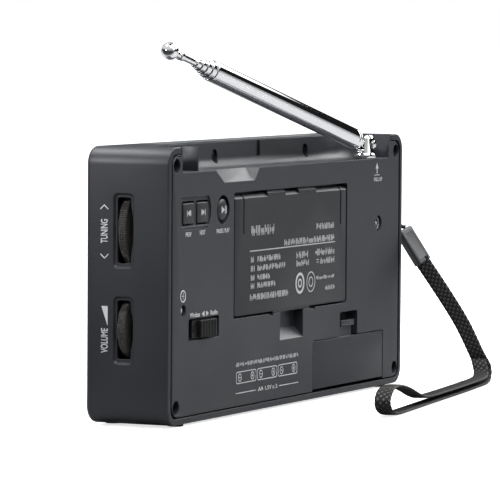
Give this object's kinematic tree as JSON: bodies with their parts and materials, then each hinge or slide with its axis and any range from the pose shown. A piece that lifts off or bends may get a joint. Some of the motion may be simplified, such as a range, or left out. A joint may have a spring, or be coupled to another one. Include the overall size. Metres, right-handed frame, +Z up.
{
  "type": "shortwave receiver",
  "caption": "Pocket radio receiver seen from behind: folding telescopic antenna, flip-out stand, battery door, rear transport keys, side thumbwheels and a wrist strap.",
  "frame": {"origin": "middle of the case's underside", "axes": "+X along the long side towards the end with the thumbwheels, +Y from the front panel to the rear cover, +Z up"},
  "size_m": [0.2032, 0.0756, 0.1189],
  "materials": {
    "case_plastic": "satin",
    "cover_plastic": "matte",
    "key_plastic": "satin",
    "black_plastic": "satin",
    "chrome_plate": "polished",
    "black_steel": "satin",
    "plain_steel": "satin",
    "lamp": "gloss",
    "lens": "gloss",
    "display": "gloss",
    "grille_paint": "matte",
    "cone_paper": "matte",
    "board": "satin",
    "ferrite": "matte",
    "winding": "satin",
    "cell_wrap": "satin",
    "rubber_foot": "matte",
    "strap_braid": "matte"
  },
  "bodies": {
    "case": {"back_cover": "cover_plastic", "battery_1": "cell_wrap", "battery_2": "cell_wrap", "battery_3": "cell_wrap", "battery_contact": "plain_steel", "battery_spring": "plain_steel", "corner_screw_1": "black_steel", "corner_screw_2": "black_steel", "corner_screw_3": "black_steel", "corner_screw_4": "black_steel", "dc_jack": "black_plastic", "display_lens": "lens", "display_module": "display", "ferrite_coil": "winding", "ferrite_rod": "ferrite", "foot_1": "rubber_foot", "foot_2": "rubber_foot", "foot_3": "rubber_foot", "foot_4": "rubber_foot", "front_case": "case_plastic", "headphone_jack": "black_plastic", "indicator_led": "lamp", "main_board": "board", "speaker_cone": "cone_paper", "speaker_frame": "plain_steel", "speaker_grille": "grille_paint", "strap_band": "strap_braid", "strap_clamp": "black_plastic", "strap_cord": "strap_braid", "trough_screw_1": "black_steel", "trough_screw_2": "black_steel", "tuning_encoder": "plain_steel", "volume_control": "plain_steel"},
    "tuning_wheel_body": {"tuning_wheel": "black_plastic"},
    "volume_wheel_body": {"volume_wheel": "black_plastic"},
    "previous_key_body": {"previous_key": "key_plastic"},
    "next_key_body": {"next_key": "key_plastic"},
    "play_pause_key_body": {"play_pause_key": "key_plastic"},
    "power_key_body": {"power_key": "key_plastic"},
    "top_bar_key_body": {"top_bar_key": "key_plastic"},
    "switch_knob_body": {"switch_knob": "black_plastic"},
    "stand_body": {"stand": "cover_plastic"},
    "battery_door_body": {"battery_door": "cover_plastic"},
    "antenna_post_body": {"antenna_post": "chrome_plate"},
    "antenna_knuckle_body": {"antenna_knuckle": "chrome_plate", "antenna_pin": "chrome_plate"},
    "antenna_tip_body": {"antenna_tip": "chrome_plate"},
    "front_key_1_body": {"front_key_1": "key_plastic"},
    "front_key_2_body": {"front_key_2": "key_plastic"},
    "front_key_3_body": {"front_key_3": "key_plastic"},
    "front_key_4_body": {"front_key_4": "key_plastic"},
    "front_key_5_body": {"front_key_5": "key_plastic"},
    "front_key_6_body": {"front_key_6": "key_plastic"},
    "front_key_7_body": {"front_key_7": "key_plastic"},
    "front_key_8_body": {"front_key_8": "key_plastic"},
    "antenna_tube_1_body": {"antenna_tube_1": "chrome_plate"},
    "antenna_tube_2_body": {"antenna_tube_2": "chrome_plate"},
    "antenna_tube_3_body": {"antenna_tube_3": "chrome_plate"},
    "antenna_tube_4_body": {"antenna_tube_4": "chrome_plate"},
    "antenna_tube_5_body": {"antenna_tube_5": "chrome_plate"}
  },
  "joints": [
    {"name": "tuning_wheel_turn", "type": "hinge", "parent": "case", "child": "tuning_wheel_body", "pos_m": [0.0785, -0.0007, 0.0604], "axis": [0, 1, 0], "continuous": true},
    {"name": "volume_wheel_turn", "type": "hinge", "parent": "case", "child": "volume_wheel_body", "pos_m": [0.0823, -0.0007, 0.0297], "axis": [0, 1, 0], "range_deg": [-135, 135]},
    {"name": "previous_key_press", "type": "slide", "parent": "case", "child": "previous_key_body", "axis": [0, -1, 0], "range_m": [0, 0.0004], "stiffness_N_per_m": 300},
    {"name": "next_key_press", "type": "slide", "parent": "case", "child": "next_key_body", "axis": [0, -1, 0], "range_m": [0, 0.0004], "stiffness_N_per_m": 300},
    {"name": "play_pause_key_press", "type": "slide", "parent": "case", "child": "play_pause_key_body", "axis": [0, -1, 0], "range_m": [0, 0.0004], "stiffness_N_per_m": 300},
    {"name": "power_key_press", "type": "slide", "parent": "case", "child": "power_key_body", "axis": [0, 1, 0], "range_m": [0, 0.0005], "stiffness_N_per_m": 300},
    {"name": "top_bar_key_press", "type": "slide", "parent": "case", "child": "top_bar_key_body", "axis": [0, 0, -1], "range_m": [0, 0.0004], "stiffness_N_per_m": 300},
    {"name": "switch_slide", "type": "slide", "parent": "case", "child": "switch_knob_body", "axis": [1, 0, 0], "range_m": [0, 0.0035]},
    {"name": "stand_fold", "type": "hinge", "parent": "case", "child": "stand_body", "pos_m": [0, 0.0129, 0.0688], "axis": [1, 0, 0], "range_deg": [0, 58]},
    {"name": "battery_door_open", "type": "hinge", "parent": "case", "child": "battery_door_body", "pos_m": [-0.04625, 0.0127, 0.0041], "axis": [-1, 0, 0], "range_deg": [0, 85]},
    {"name": "antenna_lift", "type": "slide", "parent": "case", "child": "antenna_post_body", "axis": [0, 0, 1], "range_m": [0, 0.004]},
    {"name": "antenna_swivel", "type": "hinge", "parent": "antenna_post_body", "child": "antenna_knuckle_body", "pos_m": [-0.0666, 0.01075, 0.083], "axis": [0, 0, 1], "range_deg": [0, 140]},
    {"name": "antenna_tilt", "type": "hinge", "parent": "antenna_knuckle_body", "child": "antenna_tube_1_body", "pos_m": [-0.0666, 0.01075, 0.083], "axis": [-0.0323, -0.9995, 0], "range_deg": [-12.9, 77.1]},
    {"name": "front_key_1_press", "type": "slide", "parent": "case", "child": "front_key_1_body", "axis": [0, 1, 0], "range_m": [0, 0.0005], "stiffness_N_per_m": 300},
    {"name": "front_key_2_press", "type": "slide", "parent": "case", "child": "front_key_2_body", "axis": [0, 1, 0], "range_m": [0, 0.0005], "stiffness_N_per_m": 300},
    {"name": "front_key_3_press", "type": "slide", "parent": "case", "child": "front_key_3_body", "axis": [0, 1, 0], "range_m": [0, 0.0005], "stiffness_N_per_m": 300},
    {"name": "front_key_4_press", "type": "slide", "parent": "case", "child": "front_key_4_body", "axis": [0, 1, 0], "range_m": [0, 0.0005], "stiffness_N_per_m": 300},
    {"name": "front_key_5_press", "type": "slide", "parent": "case", "child": "front_key_5_body", "axis": [0, 1, 0], "range_m": [0, 0.0005], "stiffness_N_per_m": 300},
    {"name": "front_key_6_press", "type": "slide", "parent": "case", "child": "front_key_6_body", "axis": [0, 1, 0], "range_m": [0, 0.0005], "stiffness_N_per_m": 300},
    {"name": "front_key_7_press", "type": "slide", "parent": "case", "child": "front_key_7_body", "axis": [0, 1, 0], "range_m": [0, 0.0005], "stiffness_N_per_m": 300},
    {"name": "front_key_8_press", "type": "slide", "parent": "case", "child": "front_key_8_body", "axis": [0, 1, 0], "range_m": [0, 0.0005], "stiffness_N_per_m": 300},
    {"name": "antenna_tube_2_extend", "type": "slide", "parent": "antenna_tube_1_body", "child": "antenna_tube_2_body", "axis": [0.9743, -0.0315, 0.2233], "range_m": [0, 0.1]},
    {"name": "antenna_tube_3_extend", "type": "slide", "parent": "antenna_tube_2_body", "child": "antenna_tube_3_body", "axis": [0.9743, -0.0315, 0.2233], "range_m": [0, 0.1]},
    {"name": "antenna_tube_4_extend", "type": "slide", "parent": "antenna_tube_3_body", "child": "antenna_tube_4_body", "axis": [0.9743, -0.0315, 0.2233], "range_m": [0, 0.1]},
    {"name": "antenna_tube_5_extend", "type": "slide", "parent": "antenna_tube_4_body", "child": "antenna_tube_5_body", "axis": [0.9743, -0.0315, 0.2233], "range_m": [0, 0.1]},
    {"name": "antenna_tip_extend", "type": "slide", "parent": "antenna_tube_5_body", "child": "antenna_tip_body", "axis": [0.9743, -0.0315, 0.2233], "range_m": [0, 0.1]}
  ]
}
